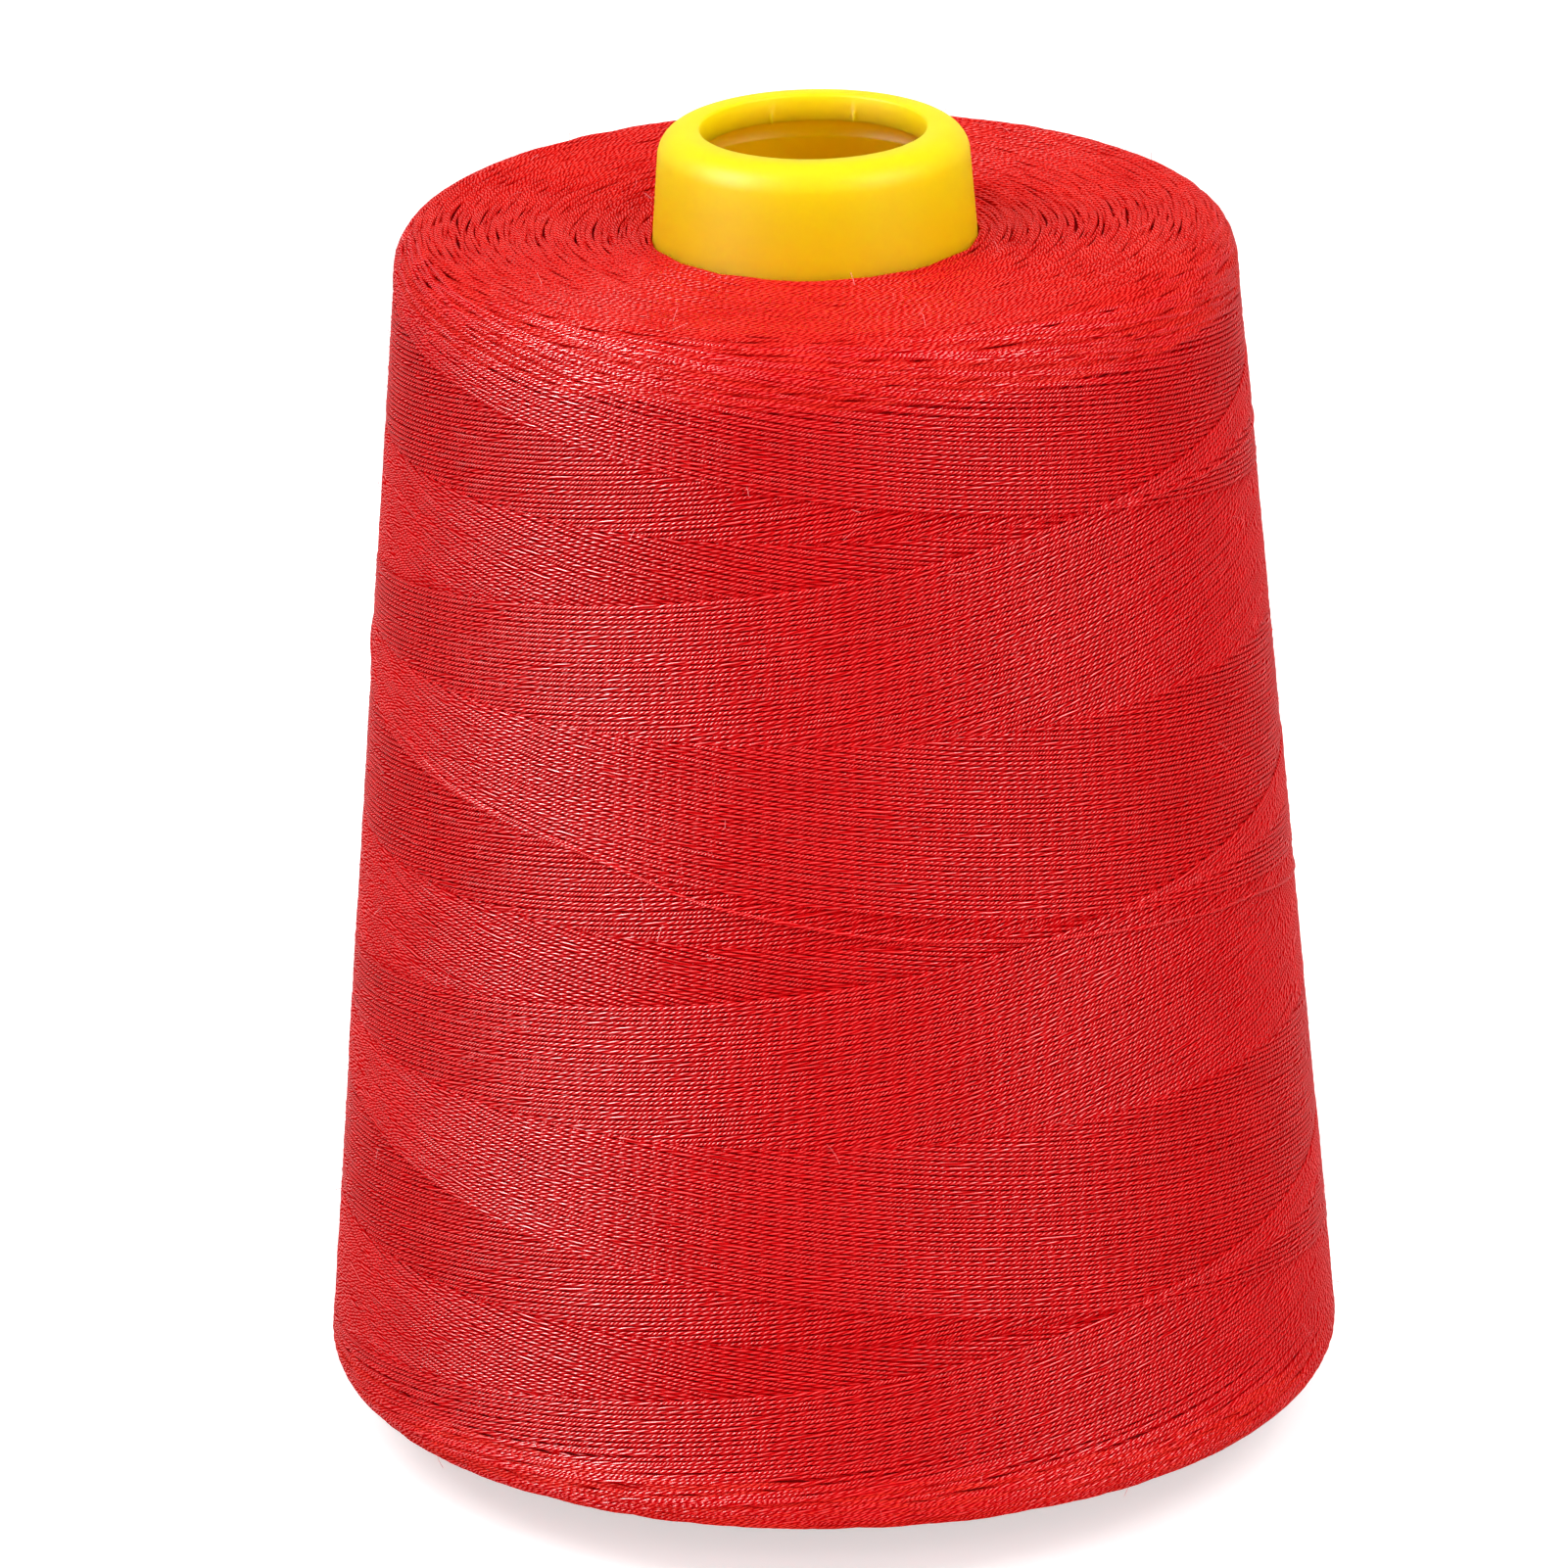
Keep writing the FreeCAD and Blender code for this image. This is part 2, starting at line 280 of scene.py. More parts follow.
shader = add_node(
    tree,
    "ShaderNodeBsdfPrincipled",
    {
        "IOR": 1.49,
        "Specular IOR Level": 0.055,
        "Subsurface Weight": 1.0,
        "Subsurface Scale": 0.009,
        "Subsurface Radius": (1.0, 0.8, 0.15),
    },
    {
        "Base Color": tint.outputs[2],
        "Roughness": gloss.outputs["Result"],
        "Normal": relief.outputs["Normal"],
    },
)
add_node(tree, "ShaderNodeOutputMaterial", None, {"Surface": shader.outputs["BSDF"]})
finish_piece(cone_moulding, plastic, "moulded_plastic", "plastic_cone")

# ---- The imported thread under the outer layer ----
# Kilometres of the same thread, wound on the cone layer over layer. Only its colour shows, a dark
# red of painted shade, in the grooves between the strands that lie over it, so it is one turned
# body.

THREAD_START = 4.5 * MM
THREAD_END = 133.45 * MM
LOWER_CORNER = (55.0 * MM, 6.6 * MM)
UPPER_CORNER = (44.3 * MM, 134.95 * MM)
LOWER_SHOULDER = 4.0 * MM
UPPER_SHOULDER = 4.5 * MM
ARC_STEPS = 12
SIDE_STEPS = 24
CORE_DEPTH = 0.75 * MM
# Painted shade: the dark red that the thread takes where little light reaches it.
PAINTED_SHADE_RED = "A80408"
MOTTLE_SIZE = 1.2 * MM
MOTTLE_RELIEF = 0.15 * MM


def rounded_corner(before, corner, after, radius):
    """Points of the arc that rounds a corner, from one of its sides to the other."""
    before, corner, after = (np.array(point) for point in (before, corner, after))
    back = (before - corner) / np.linalg.norm(before - corner)
    ahead = (after - corner) / np.linalg.norm(after - corner)
    half = math.acos(back @ ahead) / 2
    inward = (back + ahead) / np.linalg.norm(back + ahead)
    centre = corner + inward * radius / math.sin(half)
    first = corner + back * radius / math.tan(half) - centre
    last = corner + ahead * radius / math.tan(half) - centre
    sweep = math.pi - 2 * half
    share = np.linspace(0, 1, ARC_STEPS + 1)[:, None]
    from_centre = np.sin((1 - share) * sweep) * first + np.sin(share * sweep) * last
    return centre + from_centre / math.sin(sweep)


inner_foot = (cone_radius(THREAD_START), THREAD_START)
inner_head = (cone_radius(THREAD_END), THREAD_END)
outline = np.vstack(
    [
        [inner_foot],
        rounded_corner(inner_foot, LOWER_CORNER, UPPER_CORNER, LOWER_SHOULDER),
        rounded_corner(LOWER_CORNER, UPPER_CORNER, inner_head, UPPER_SHOULDER),
        [inner_head],
    ]
)
outline_steps = np.diff(outline, axis=0)
outline_length = np.r_[0, np.cumsum(np.hypot(*outline_steps.T))]
side_foot = outline_length[1 + ARC_STEPS]
side_head = outline_length[2 + ARC_STEPS]
face_head = outline_length[-1]
step_heading = np.unwrap(np.arctan2(outline_steps[:, 1], outline_steps[:, 0]))
point_heading = np.r_[step_heading[0], (step_heading[1:] + step_heading[:-1]) / 2, step_heading[-1]]


def on_package(heading, along, lift):
    """Points at headings from -Y towards +X, distances along the outline and lifts off it."""
    slope = np.interp(along, outline_length, point_heading)
    radius = np.interp(along, outline_length, outline[:, 0]) + lift * np.sin(slope)
    height = np.interp(along, outline_length, outline[:, 1]) - lift * np.cos(slope)
    return np.stack([radius * np.sin(heading), -radius * np.cos(heading), height], axis=-1)


core_along = np.r_[
    0,
    outline_length[1:2 + ARC_STEPS],
    np.linspace(side_foot, side_head, SIDE_STEPS)[1:-1],
    outline_length[2 + ARC_STEPS:3 + 2 * ARC_STEPS],
    face_head,
]
core_points = on_package(math.pi / 2, core_along, -CORE_DEPTH)
core_section = [(point[0], point[2]) for point in core_points]
core_section[0] = (cone_radius(core_section[0][1]), core_section[0][1])
core_section[-1] = (cone_radius(core_section[-1][1]), core_section[-1][1])
packed_core = bpy.data.objects.new(
    "packed_core", turned_mesh("packed_core", core_section, True, [])
)

# The same thread, deep between the strands, where hardly any light reaches: it is a matt dark red
# with no shine, painted shade that draws the fine dark lines of the winding.
groove, tree = new_material("thread_in_shade")
place = add_node(tree, "ShaderNodeTexCoord")
mottle = add_node(
    tree,
    "ShaderNodeTexNoise",
    {"Scale": 1 / MOTTLE_SIZE, "Detail": 3.0},
    {"Vector": place.outputs["Object"]},
)
relief = add_node(
    tree,
    "ShaderNodeBump",
    {"Strength": 0.8, "Distance": MOTTLE_RELIEF},
    {"Height": mottle.outputs["Fac"]},
)
shader = add_node(
    tree,
    "ShaderNodeBsdfPrincipled",
    {"Base Color": linear(PAINTED_SHADE_RED), "Roughness": 0.8, "IOR": 1.55, "Specular IOR Level": 0.05},
    {"Normal": relief.outputs["Normal"]},
)
add_node(tree, "ShaderNodeOutputMaterial", None, {"Surface": shader.outputs["BSDF"]})
finish_piece(packed_core, groove, "sewing_thread", "thread_package")

# ---- The outer strokes ----
# One unbroken thread of three plies of spun polyester. It climbs the package in three turns and
# comes down in three more. Each journey is laid a thread's width behind the one before, so
# newer strokes cross older ones in the long diamonds that cross-winding makes.

# Headings and the spacings along them are in radians round the package, from -Y towards +X.
STRAND = 0.4 * MM
STROKES = 84
TURNS_PER_STROKE = 3
NEWEST_HEADING = 3.83
LOW_VERTEX = -0.6 * MM
HIGH_VERTEX = 129.15 * MM
VERTEX_ROUND = 1.5 * MM
VERTEX_SCATTER = 1.4 * MM
VERTEX_REACH = 5 * MM
LAYER_STEP = 0.07 * MM
UNDER_STEP = 0.26 * MM
RAMP_SHARE = 0.019
DIVE_SHARE = 0.026
DIVE_STEEPNESS = 1.15
POINTS_PER_JOURNEY = 540
STROKE_PIECES = 5
WANDER = 0.02 * MM
WANDER_SPACING = 2.0
UNEVEN_LIFT = 0.025 * MM
UNEVEN_SPACING = 0.13
PLIES = 3
TWIST_LOBE = 0.75 * MM
TWIST_RELIEF = 0.026 * MM
TWIST_DRIFT = 60.0
TWIST_DRIFT_LENGTH = 10 * MM
FIBRE_SIZE = 0.25 * MM
FIBRE_RELIEF = 0.016 * MM
SHADE_SIZE = 6 * MM
THREAD_SHINE = 0.42
THREAD_RED = "DC080C"
THREAD_BRIGHT = "EA1014"
rng = np.random.default_rng(41)


def smooth_step(value):
    """Ease from 0 to 1 as the value does, level at both ends."""
    held = np.clip(value, 0, 1)
    return held * held * (3 - 2 * held)


def smooth_noise(distance, spacing, size):
    """Seeded noise that drifts from knot to knot along a distance."""
    knots = np.arange(distance[0], distance[-1] + 2 * spacing, spacing)
    values = rng.normal(0, size, len(knots))
    index = np.clip(((distance - knots[0]) / spacing).astype(int), 0, len(knots) - 2)
    share = smooth_step((distance - knots[index]) / spacing)
    return values[index] * (1 - share) + values[index + 1] * share


def lay_lift(own_age, other_age):
    """Height of a strand: on top of older strands, under newer ones, with a slope between."""
    rises = smooth_step((other_age - own_age) / (2 * RAMP_SHARE) + 0.5)
    dives = smooth_step((other_age - 1 + DIVE_SHARE) / DIVE_SHARE * DIVE_STEEPNESS)
    on_top = rises * (1 - dives)
    age = own_age + other_age - dives
    return LAYER_STEP * (1 - age) - UNDER_STEP * (1 - on_top) - STRAND / 2


def depth_below(points):
    """How deep points lie below the surface of the package."""
    places = np.stack([np.hypot(points[:, 0], points[:, 1]), points[:, 2]], axis=-1)
    nearest = np.full(len(places), np.inf)
    depth = np.zeros(len(places))
    for corner, step in zip(outline, outline_steps):
        length = np.hypot(*step)
        ahead = step / length
        offset = places - corner
        share = np.clip(offset @ ahead, 0, length)
        distance = np.linalg.norm(offset - share[:, None] * ahead, axis=1)
        side = ahead[0] * offset[:, 1] - ahead[1] * offset[:, 0]
        closer = distance < nearest
        nearest[closer] = distance[closer]
        depth[closer] = (np.sign(side) * distance)[closer]
    return depth.astype(np.float32)


def strand_piece(name, paths, diameter, rounding, length):
    """Mesh of round strands along paths, its UV map in millimetres along and turns around."""
    line = bpy.data.curves.new(name + "_line", "CURVE")
    line.dimensions = "3D"
    line.twist_mode = "Z_UP"
    line.bevel_depth = diameter / 2
    line.bevel_resolution = rounding
    line.use_fill_caps = True
    for path in paths:
        spline = line.splines.new("POLY")
        spline.points.add(len(path) - 1)
        spline.points.foreach_set("co", np.c_[path, np.ones(len(path))].ravel())
        spline.use_smooth = True
    holder = bpy.data.objects.new(name + "_line", line)
    mesh = bpy.data.meshes.new_from_object(holder)
    mesh.name = name
    bpy.data.objects.remove(holder)
    bpy.data.curves.remove(line)
    layer = mesh.uv_layers[0].data
    places = np.zeros(len(layer) * 2, np.float32)
    layer.foreach_get("uv", places)
    places[0::2] *= length / MM
    layer.foreach_set("uv", places)
    corners = np.zeros(len(mesh.vertices) * 3, np.float32)
    mesh.vertices.foreach_get("co", corners)
    depth = mesh.attributes.new("depth", "FLOAT", "POINT")
    depth.data.foreach_set("value", depth_below(corners.reshape(-1, 3)) / MM)
    return bpy.data.objects.new(name, mesh)


# A journey is a climb and a shorter way down, so that the next one starts a strand's width on.
climb = math.tau * TURNS_PER_STROKE
journey = 2 * climb - math.tau / STROKES
rise_up = (HIGH_VERTEX - LOW_VERTEX) / climb
rise_down = (HIGH_VERTEX - LOW_VERTEX) / (journey - climb)
local = np.arange(POINTS_PER_JOURNEY) / POINTS_PER_JOURNEY * journey
stroke_number = np.repeat(np.arange(STROKES), POINTS_PER_JOURNEY)
travel = np.tile(local, STROKES)
own_age = (STROKES - 1 - stroke_number) / STROKES
climbing = travel < climb
rise = np.where(climbing, rise_up, rise_down)
from_top = (travel - climb) * rise
from_foot = np.minimum(travel, journey - travel) * rise
near_top = np.abs(from_top) < from_foot
side_place = np.where(
    near_top,
    HIGH_VERTEX - np.hypot(from_top, VERTEX_ROUND),
    LOW_VERTEX + np.hypot(from_foot, VERTEX_ROUND),
)
top_reach = rng.uniform(-VERTEX_SCATTER, VERTEX_SCATTER, STROKES)[stroke_number]
foot_reach = rng.uniform(-VERTEX_SCATTER, VERTEX_SCATTER, STROKES + 1)
foot_reach = foot_reach[stroke_number + (travel > climb)]
side_place += top_reach * np.exp(-(from_top / VERTEX_REACH) ** 2)
side_place += foot_reach * np.exp(-(from_foot / VERTEX_REACH) ** 2)
heading = NEWEST_HEADING + (stroke_number - STROKES + 1) * journey + travel
side_place += smooth_noise(heading, WANDER_SPACING, WANDER)
# The age of the stroke that crosses each point, from 0 for the newest to 1 for the oldest.
up_mark = NEWEST_HEADING - LOW_VERTEX / rise_up
down_mark = NEWEST_HEADING + HIGH_VERTEX / rise_up
up_age = (heading - side_place / rise_up - up_mark) / math.tau % 1
down_age = (heading + side_place / rise_up - down_mark) / math.tau % 1
lift = lay_lift(own_age, np.where(climbing, down_age, up_age))
lift += smooth_noise(heading, UNEVEN_SPACING, UNEVEN_LIFT)
# The lower corner is close to square, so its rounding starts one radius below the side.
side_start = side_foot - LOWER_SHOULDER
stroke_path = on_package(heading, side_start + side_place, lift)
stroke_length = np.linalg.norm(np.diff(stroke_path, axis=0), axis=1).sum()
print(f"outer strokes: {stroke_length:.1f} m of thread")


# Twisted spun polyester: bright red, with its shine kept to the crowns of its plies, painted
# shade that darkens the creases between them and the strands that lie deep, and a soft fuzz of
# fibre ends. The twist of the plies is drawn coarser than the real one, which is too fine to
# show, and its phase drifts so that strands differ.
def thread_material(name, shine, red, bright):
    """Thread with its twist and painted shade in its creases and deep strands; only open crowns
    shine, by the share that is given.
    """
    material, tree = new_material(name)
    place = add_node(tree, "ShaderNodeTexCoord")
    turn = add_node(tree, "ShaderNodeSeparateXYZ", None, {"Vector": place.outputs["UV"]})
    lobes_along = add_node(
        tree,
        "ShaderNodeMath",
        {"operation": "MULTIPLY", 1: math.tau / (TWIST_LOBE / MM)},
        {0: turn.outputs["X"]},
    )
    uneven = add_node(
        tree,
        "ShaderNodeTexNoise",
        {"noise_dimensions": "1D", "Scale": MM / TWIST_DRIFT_LENGTH, "Detail": 1.0},
        {"W": turn.outputs["X"]},
    )
    lobes_uneven = add_node(
        tree,
        "ShaderNodeMath",
        {"operation": "MULTIPLY_ADD", 1: TWIST_DRIFT},
        {0: uneven.outputs["Fac"], 2: lobes_along.outputs["Value"]},
    )
    lobes_around = add_node(
        tree,
        "ShaderNodeMath",
        {"operation": "MULTIPLY_ADD", 1: PLIES * math.tau},
        {0: turn.outputs["Y"], 2: lobes_uneven.outputs["Value"]},
    )
    lobes = add_node(
        tree, "ShaderNodeMath", {"operation": "SINE"}, {0: lobes_around.outputs["Value"]}
    )
    fibres = add_node(
        tree,
        "ShaderNodeTexNoise",
        {"Scale": 1 / FIBRE_SIZE, "Detail": 3.0, "Roughness": 0.6},
        {"Vector": place.outputs["Object"]},
    )
    fluff = add_node(
        tree,
        "ShaderNodeBump",
        {"Strength": 1.0, "Distance": FIBRE_RELIEF},
        {"Height": fibres.outputs["Fac"]},
    )
    twist = add_node(
        tree,
        "ShaderNodeBump",
        {"Strength": 1.0, "Distance": TWIST_RELIEF},
        {"Height": lobes.outputs["Value"], "Normal": fluff.outputs["Normal"]},
    )
    drift = add_node(
        tree,
        "ShaderNodeTexNoise",
        {"Scale": 1 / SHADE_SIZE, "Detail": 4.0},
        {"Vector": place.outputs["Object"]},
    )
    shade = add_node(
        tree,
        "ShaderNodeMapRange",
        {"From Min": 0.3, "From Max": 0.7},
        {"Value": drift.outputs["Fac"]},
    )
    tint = add_node(tree, "ShaderNodeMix", {"data_type": "RGBA"})
    tint.inputs[6].default_value = linear(red)
    tint.inputs[7].default_value = linear(bright)
    tree.links.new(shade.outputs["Result"], tint.inputs[0])
    # Painted shade: the colour darkens to the dark shade red in the ply creases and where a strand
    # lies deep.
    painted_crease_shade = add_node(
        tree,
        "ShaderNodeMapRange",
        {"From Min": -0.8, "From Max": 0.3, "To Min": 1.0, "To Max": 0.0},
        {"Value": lobes.outputs["Value"]},
    )
    sunk = add_node(tree, "ShaderNodeAttribute", {"attribute_name": "depth"})
    painted_depth_shade = add_node(
        tree,
        "ShaderNodeMapRange",
        {"From Min": 0.1, "From Max": 0.45, "To Min": 0.0, "To Max": 1.0},
        {"Value": sunk.outputs["Fac"]},
    )
    painted_shade_share = add_node(
        tree,
        "ShaderNodeMath",
        {"operation": "MAXIMUM"},
        {0: painted_depth_shade.outputs["Result"], 1: painted_crease_shade.outputs["Result"]},
    )
    deep = add_node(
        tree,
        "ShaderNodeMix",
        {"data_type": "RGBA"},
        {"Factor": painted_shade_share.outputs["Value"]},
    )
    deep.inputs[7].default_value = linear(PAINTED_SHADE_RED)
    tree.links.new(tint.outputs[2], deep.inputs[6])
    # Painted shade on the gloss too: the shine is kept to the ply crowns and cut where a strand
    # lies deep.
    crown = add_node(
        tree,
        "ShaderNodeMapRange",
        {"From Min": 0.1, "From Max": 0.9, "To Min": 0.0, "To Max": shine},
        {"Value": lobes.outputs["Value"]},
    )
    painted_shade_gloss_share = add_node(
        tree,
        "ShaderNodeMapRange",
        {"From Min": 0.05, "From Max": 0.35, "To Min": 1.0, "To Max": 0.0},
        {"Value": sunk.outputs["Fac"]},
    )
    lustre = add_node(
        tree,
        "ShaderNodeMath",
        {"operation": "MULTIPLY"},
        {0: crown.outputs["Result"], 1: painted_shade_gloss_share.outputs["Result"]},
    )
    shader = add_node(
        tree,
        "ShaderNodeBsdfPrincipled",
        {"Roughness": 0.35, "IOR": 1.55},
        {
            "Base Color": deep.outputs[2],
            "Specular IOR Level": lustre.outputs["Value"],
            "Normal": twist.outputs["Normal"],
        },
    )
    add_node(tree, "ShaderNodeOutputMaterial", None, {"Surface": shader.outputs["BSDF"]})
    return material


thread = thread_material("spun_polyester_thread", THREAD_SHINE, THREAD_RED, THREAD_BRIGHT)
stroke_ends = np.linspace(0, len(stroke_path) - 1, STROKE_PIECES + 1).astype(int)
for number, (first, last) in enumerate(zip(stroke_ends, stroke_ends[1:]), start=1):
    path = stroke_path[first:last + 1]
    length = np.linalg.norm(np.diff(path, axis=0), axis=1).sum()
    piece = strand_piece(f"wound_strokes_{number}", [path], STRAND, 2, length)
    finish_piece(piece, thread, "sewing_thread", "outer_winding")

# ---- The turns that show on the end faces ----
# The same thread. Every layer turns round at its ends, so the two end faces are built of the
# short arcs of these turns, ring inside ring from the shoulder to the cone, and each arc is
# held under its neighbours at both ends. They lie slacker there than on the side.

TURN_STRAND = 0.42 * MM
TURN_LENGTH = 10 * MM
TURN_SPAN = (0.75, 1.25)
TURN_STAGGER = 0.45
TURN_SKEW = 0.22 * MM
TURN_SWAY = 0.12 * MM
TURN_SCATTER = 0.14 * MM
TURN_CROWN = (-0.16 * MM, 0.05 * MM)
TURN_DIVE = 0.36 * MM
TURN_ROUND = 2.4
TURN_POINTS = 6
END_PIECES = 2
# Each end face gives its first and last ring, the spacing of rings and how often arcs cover one.
END_FACES = (
    ("nose_end_turns", side_head - 2.5 * MM, face_head - 0.2 * MM, 0.33 * MM, 2.3),
    ("base_end_turns", 0.3 * MM, side_foot + 2.0 * MM, 0.4 * MM, 2.0),
)
SLACK_SHINE = 0.12
# Painted light: the end turns are a paler red, for the brighter light on the end faces.
END_TURN_RED_PAINTED_LIGHT = "DE2018"
END_TURN_BRIGHT_PAINTED_LIGHT = "EC2E22"


def end_turns(first, last, spacing, cover):
    """Arcs along rings from one place on the outline to another, staggered at random."""
    arcs = []
    for ring in np.arange(first, last, spacing):
        radius = np.interp(ring, outline_length, outline[:, 0])
        count = max(4, round(cover * math.tau * radius / TURN_LENGTH))
        stagger = rng.uniform(-TURN_STAGGER, TURN_STAGGER, count)
        starts = (np.arange(count) + stagger) / count * math.tau
        for start in starts:
            span = TURN_LENGTH / radius * rng.uniform(*TURN_SPAN)
            share = np.linspace(-1, 1, TURN_POINTS)
            skew = rng.normal(0, TURN_SKEW)
            sway = rng.normal(0, TURN_SWAY)
            along = ring + rng.normal(0, TURN_SCATTER) + skew * share + sway * share ** 2
            along = np.clip(along, first - MM, last)
            crown = rng.uniform(*TURN_CROWN)
            lift = crown - TURN_DIVE * np.abs(share) ** TURN_ROUND - STRAND / 2
            arcs.append(on_package(start + share * span / 2, along, lift))
    return arcs


# Spun polyester of the slacker end turns: it hardly shines, and its paler red is painted light, for
# the brighter light that falls on the end faces.
end_turn_thread = thread_material("polyester_end_turns_painted_light", SLACK_SHINE, END_TURN_RED_PAINTED_LIGHT, END_TURN_BRIGHT_PAINTED_LIGHT)
for name, first_ring, last_ring, spacing, cover in END_FACES:
    arcs = end_turns(first_ring, last_ring, spacing, cover)
    print(f"{name}: {len(arcs)} arcs")
    shares = np.linspace(0, len(arcs), END_PIECES + 1).astype(int)
    for number, (first, last) in enumerate(zip(shares, shares[1:]), start=1):
        piece = strand_piece(f"{name}_{number}", arcs[first:last], TURN_STRAND, 1, TURN_LENGTH)
        finish_piece(piece, end_turn_thread, "sewing_thread")

# ---- The loose last turn ----
# The end of the same thread. It was laid after the last full journey, so it runs across the
# strokes at its own slope, a little proud of them, and is tucked in at both ends.

# Its route gives headings in degrees from -Y towards +X, and heights in millimetres.
LOOSE_TURN = (
    (40, 113.2),
    (85, 112.6),
    (130, 111.0),
    (175, 107.5),
    (220, 101.5),
    (262, 91.0),
    (298, 83.3),
    (322, 80.2),
    (345, 75.3),
    (380, 69.8),
    (402, 68.4),
    (424, 65.4),
    (448, 61.2),
    (490, 56.6),
    (535, 54.2),
    (580, 53.0),
)
LOOSE_SWAY = 0.3 * MM
LOOSE_SWAY_SPACING = 0.5
LOOSE_LIFT = 0.06 * MM
LOOSE_LIFT_SPACING = 0.35
LOOSE_TUCK = 1.2 * MM
LOOSE_TUCK_REACH = 0.12
LOOSE_POINTS = 320
LOOSE_SMOOTHING = 25
LOOSE_LENGTH = 0.5
headings, heights = np.array(LOOSE_TURN, float).T
knot = np.arange(len(headings))
place_along = np.linspace(0, knot[-1], LOOSE_POINTS)
loose_heading = np.radians(np.interp(place_along, knot, headings))
loose_height = np.interp(place_along, knot, heights)
kernel = np.hanning(LOOSE_SMOOTHING) / np.hanning(LOOSE_SMOOTHING).sum()
padded = np.pad(loose_height, LOOSE_SMOOTHING // 2, mode="edge")
loose_height = np.convolve(padded, kernel, mode="valid")
side_slant = math.atan2(
    LOWER_CORNER[0] - UPPER_CORNER[0], UPPER_CORNER[1] - LOWER_CORNER[1]
)
loose_side = (loose_height * MM - LOWER_CORNER[1]) / math.cos(side_slant)
loose_side += smooth_noise(place_along, LOOSE_SWAY_SPACING, LOOSE_SWAY)
loose_lift = smooth_noise(place_along, LOOSE_LIFT_SPACING, LOOSE_LIFT)
from_end = np.minimum(place_along, knot[-1] - place_along)
loose_lift -= LOOSE_TUCK * (1 - smooth_step(from_end / LOOSE_TUCK_REACH))
loose_path = on_package(loose_heading, side_start + loose_side, loose_lift)
loose_turn = strand_piece("loose_turn", [loose_path], STRAND, 2, LOOSE_LENGTH)
finish_piece(loose_turn, thread, "sewing_thread", "thread_end")

# ---- Lint ----
# Spun polyester is made of cut fibres, and the ends of a few stand off the thread as hairs,
# here and there over the whole package. They are drawn thicker than a real fibre, to show.

LINT_COUNT = 280
LINT_DIAMETER = 0.05 * MM
LINT_LENGTH = 1.0 * MM
LINT_REACH = (0.4 * MM, 1.3 * MM)
LINT_LEAN = 0.9 * MM
LINT_ROOT = 0.15 * MM
LINT_MARGIN = 2 * MM
LINT_CURL = 1.5
LINT_POINTS = 4
LINT_RED = "E02A2E"
lint = []
for _ in range(LINT_COUNT):
    heading_at = rng.uniform(0, math.tau)
    along_at = rng.uniform(LINT_MARGIN, face_head - LINT_MARGIN)
    reach = rng.uniform(*LINT_REACH)
    lean = rng.normal(0, LINT_LEAN, 2)
    share = np.linspace(0, 1, LINT_POINTS)
    radius = np.interp(along_at, outline_length, outline[:, 0])
    heading_along = heading_at + lean[0] * share / radius
    along = along_at + lean[1] * share ** LINT_CURL
    lint.append(on_package(heading_along, along, reach * share - LINT_ROOT))
lint_fibres = strand_piece("lint_fibres", lint, LINT_DIAMETER, 0, LINT_LENGTH)
# A bare polyester fibre: smooth and red, a little paler than the thread that it stands off.
fibre, tree = new_material("loose_polyester_fibre")
shader = add_node(
    tree,
    "ShaderNodeBsdfPrincipled",
    {"Base Color": linear(LINT_RED), "Roughness": 0.5, "IOR": 1.55},
)
add_node(tree, "ShaderNodeOutputMaterial", None, {"Surface": shader.outputs["BSDF"]})
finish_piece(lint_fibres, fibre, "sewing_thread")

# ---- Floor, lamps and camera ----
# A sheet of white paper, three soft boxes, a broad lamp in front that lights the thread but
# leaves no highlight on it, four small lamps that only draw highlights, and a pale room.

FLOOR_HALF_SIDE = 4.0
PAPER_WHITE = (0.8, 0.8, 0.8, 1.0)
PAPER_GLOW = 0.55
ROOM_WHITE = (1.0, 1.0, 1.0, 1.0)
ROOM_LIGHT = 0.48
floor_shape = bmesh.new()
bmesh.ops.create_grid(floor_shape, x_segments=1, y_segments=1, size=FLOOR_HALF_SIDE)
floor_mesh = bpy.data.meshes.new("floor")
floor_shape.to_mesh(floor_mesh)
floor_shape.free()
floor = bpy.data.objects.new("floor", floor_mesh)
bpy.context.scene.collection.objects.link(floor)
# Matt white paper. It glows a little for the camera alone, so that it meets the white room
# without an edge and still keeps the shadow under the cone.
paper, tree = new_material("white_paper")
seen = add_node(tree, "ShaderNodeLightPath")
pale = add_node(tree, "ShaderNodeBsdfDiffuse", {"Color": PAPER_WHITE})
glow = add_node(tree, "ShaderNodeEmission", {"Strength": PAPER_GLOW})
both = add_node(
    tree, "ShaderNodeAddShader", None, {0: pale.outputs["BSDF"], 1: glow.outputs["Emission"]}
)
picked = add_node(
    tree,
    "ShaderNodeMixShader",
    None,
    {0: seen.outputs["Is Camera Ray"], 1: pale.outputs["BSDF"], 2: both.outputs["Shader"]},
)
add_node(tree, "ShaderNodeOutputMaterial", None, {"Surface": picked.outputs["Shader"]})
floor_mesh.materials.append(paper)

AIM = Vector((0, 0, 70)) * MM
GLINT_DISTANCE = 1.1
GLINT_SIDE = 0.4
# Each glint gives its heading and elevation in degrees, and its power in watts.
GLINTS = (
    ("left_low", -65, 22, 46),
    ("left_middle", -74, 42, 62),
    ("right_low", 52, 22, 14),
    ("right_middle", 60, 42, 24),
)


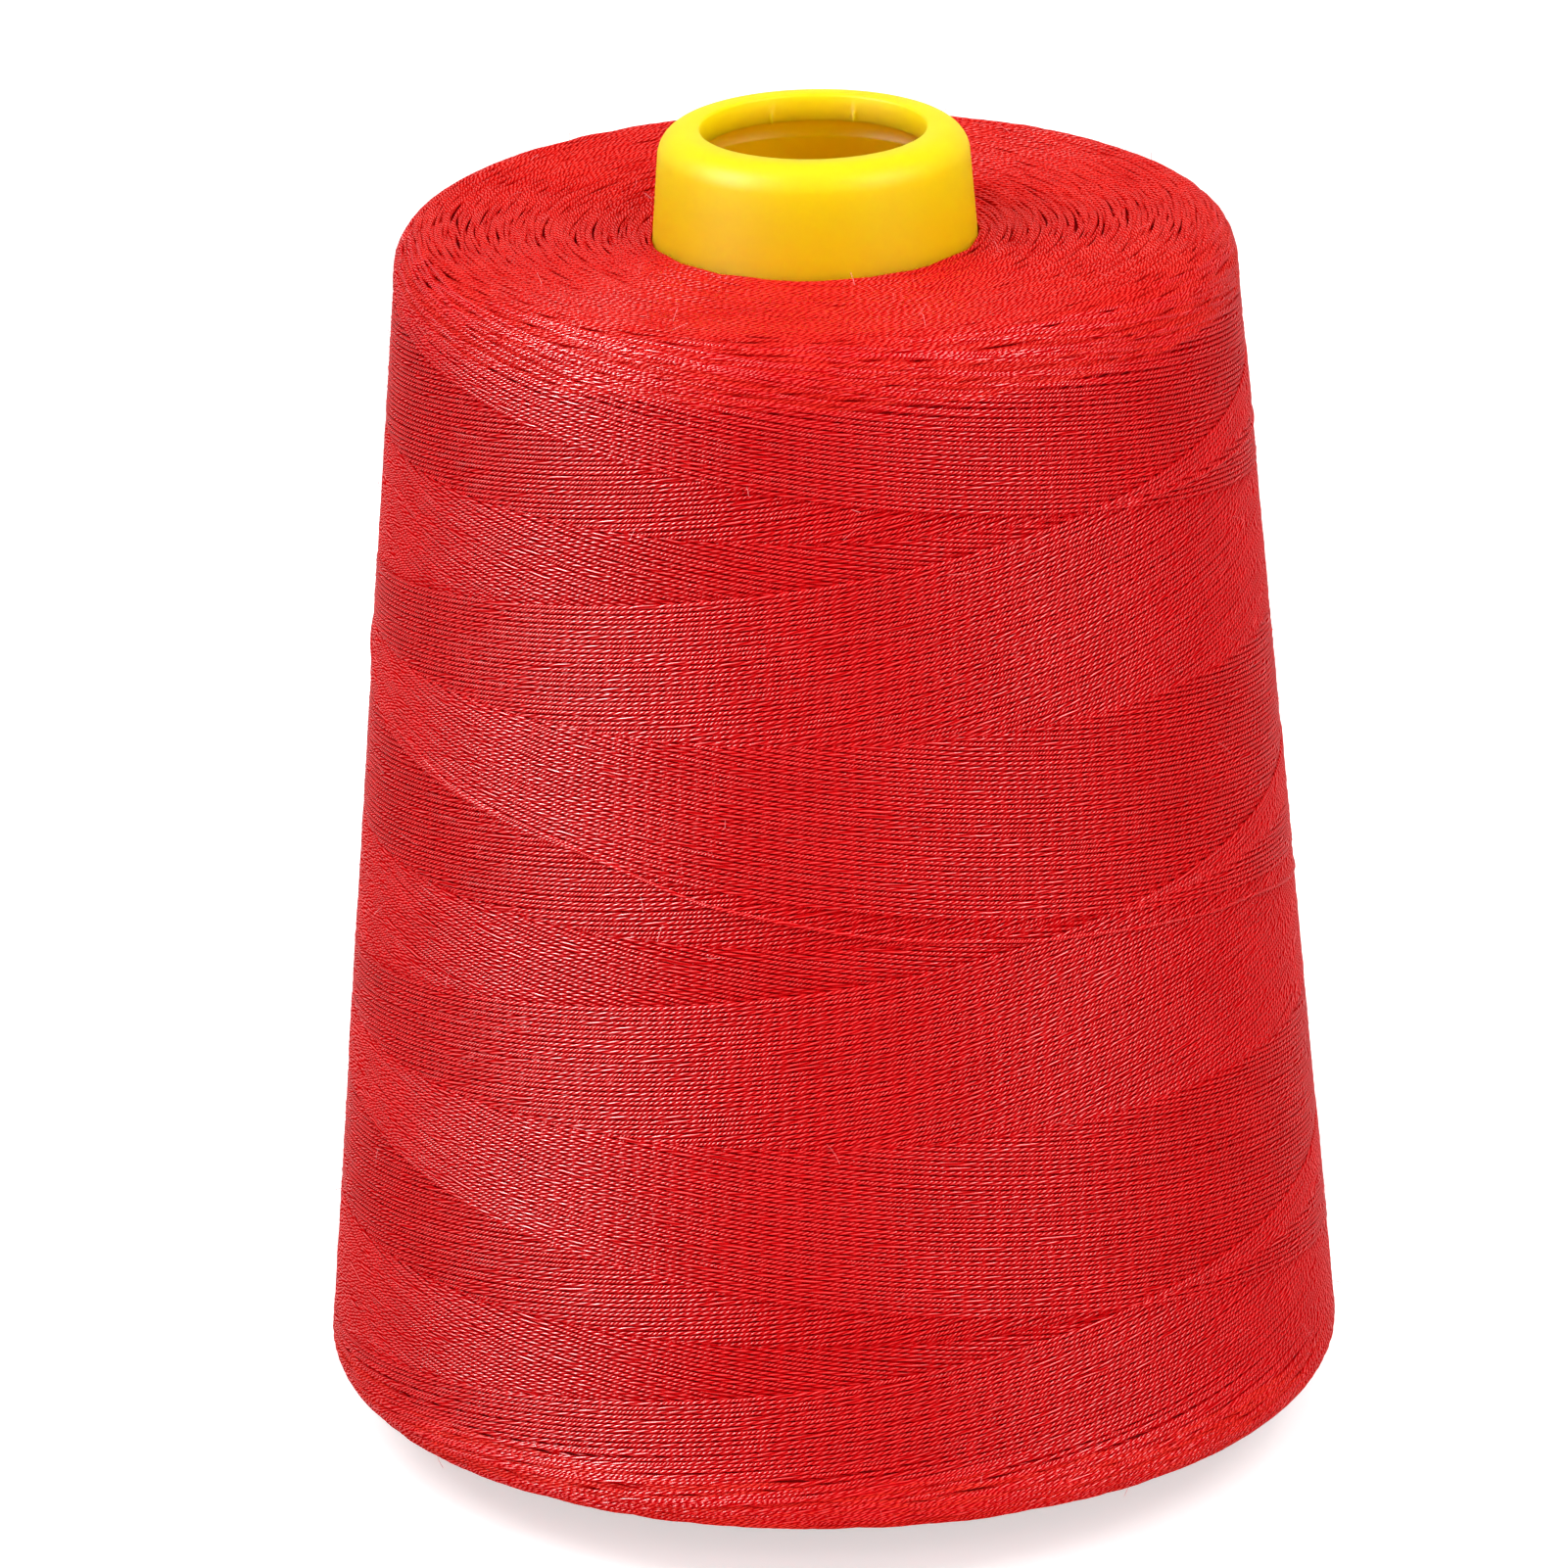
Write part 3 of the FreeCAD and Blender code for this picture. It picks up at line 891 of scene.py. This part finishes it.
def soft_box(name, heading, elevation, distance, width, height, power):
    """Rectangular lamp that faces the cone from a heading off -Y towards +X."""
    lamp = bpy.data.lights.new(name, "AREA")
    lamp.shape = "RECTANGLE"
    lamp.size = width
    lamp.size_y = height
    lamp.energy = power
    turn, tilt = math.radians(heading), math.radians(elevation)
    toward = Vector(
        (math.sin(turn) * math.cos(tilt), -math.cos(turn) * math.cos(tilt), math.sin(tilt))
    )
    holder = bpy.data.objects.new(name, lamp)
    holder.location = AIM + toward * distance
    holder.rotation_euler = toward.to_track_quat("Z", "Y").to_euler()
    bpy.context.scene.collection.objects.link(holder)
    return holder


soft_box("left_soft_box", -74, 50, 1.0, 0.45, 0.45, 4.8)
soft_box("right_soft_box", 60, 50, 1.0, 0.45, 0.45, 3.6)
soft_box("top_soft_box", 180, 84, 1.0, 0.6, 0.6, 2.5)
fill = soft_box("front_fill", 5, 20, 1.4, 1.0, 1.0, 9.0)
fill.visible_glossy = False
for name, turned, raised_by, power in GLINTS:
    glint = soft_box(
        name + "_glint", turned, raised_by, GLINT_DISTANCE, GLINT_SIDE, GLINT_SIDE, power
    )
    glint.visible_diffuse = False

world = bpy.data.worlds.new("white_room")
bpy.context.scene.world = world
world.use_nodes = True
tree = world.node_tree
tree.nodes.clear()
seen = add_node(tree, "ShaderNodeLightPath")
mirrored = add_node(
    tree,
    "ShaderNodeMath",
    {"operation": "MAXIMUM"},
    {0: seen.outputs["Is Glossy Ray"], 1: seen.outputs["Is Transmission Ray"]},
)
shown = add_node(
    tree,
    "ShaderNodeMath",
    {"operation": "MAXIMUM"},
    {0: seen.outputs["Is Camera Ray"], 1: mirrored.outputs["Value"]},
)
room = add_node(
    tree, "ShaderNodeBackground", {"Color": ROOM_WHITE, "Strength": ROOM_LIGHT}
)
white = add_node(tree, "ShaderNodeBackground", {"Color": ROOM_WHITE, "Strength": 1.0})
picked = add_node(
    tree,
    "ShaderNodeMixShader",
    None,
    {
        0: shown.outputs["Value"],
        1: room.outputs["Background"],
        2: white.outputs["Background"],
    },
)
add_node(tree, "ShaderNodeOutputWorld", None, {"Surface": picked.outputs["Shader"]})

TARGET = Vector((-4.38, 0, 71.42)) * MM
VIEW_DISTANCE = 1302.7 * MM
VIEW_ELEVATION = math.radians(19.532)
VIEW_ROLL = math.radians(-1.074)
FOCAL_LENGTH = 278.17
SENSOR_WIDTH = 36
camera = bpy.data.objects.new("camera", bpy.data.cameras.new("camera"))
camera.data.lens = FOCAL_LENGTH
camera.data.sensor_width = SENSOR_WIDTH
ahead = Vector((0, math.cos(VIEW_ELEVATION), -math.sin(VIEW_ELEVATION)))
level = Vector((1, 0, 0))
upward = level.cross(ahead)
right = level * math.cos(VIEW_ROLL) + upward * math.sin(VIEW_ROLL)
up = upward * math.cos(VIEW_ROLL) - level * math.sin(VIEW_ROLL)
camera.matrix_world = Matrix.Translation(TARGET - ahead * VIEW_DISTANCE) @ Matrix(
    (right, up, -ahead)
).transposed().to_4x4()
bpy.context.scene.collection.objects.link(camera)
bpy.context.scene.camera = camera
bpy.context.scene.view_settings.view_transform = "Standard"
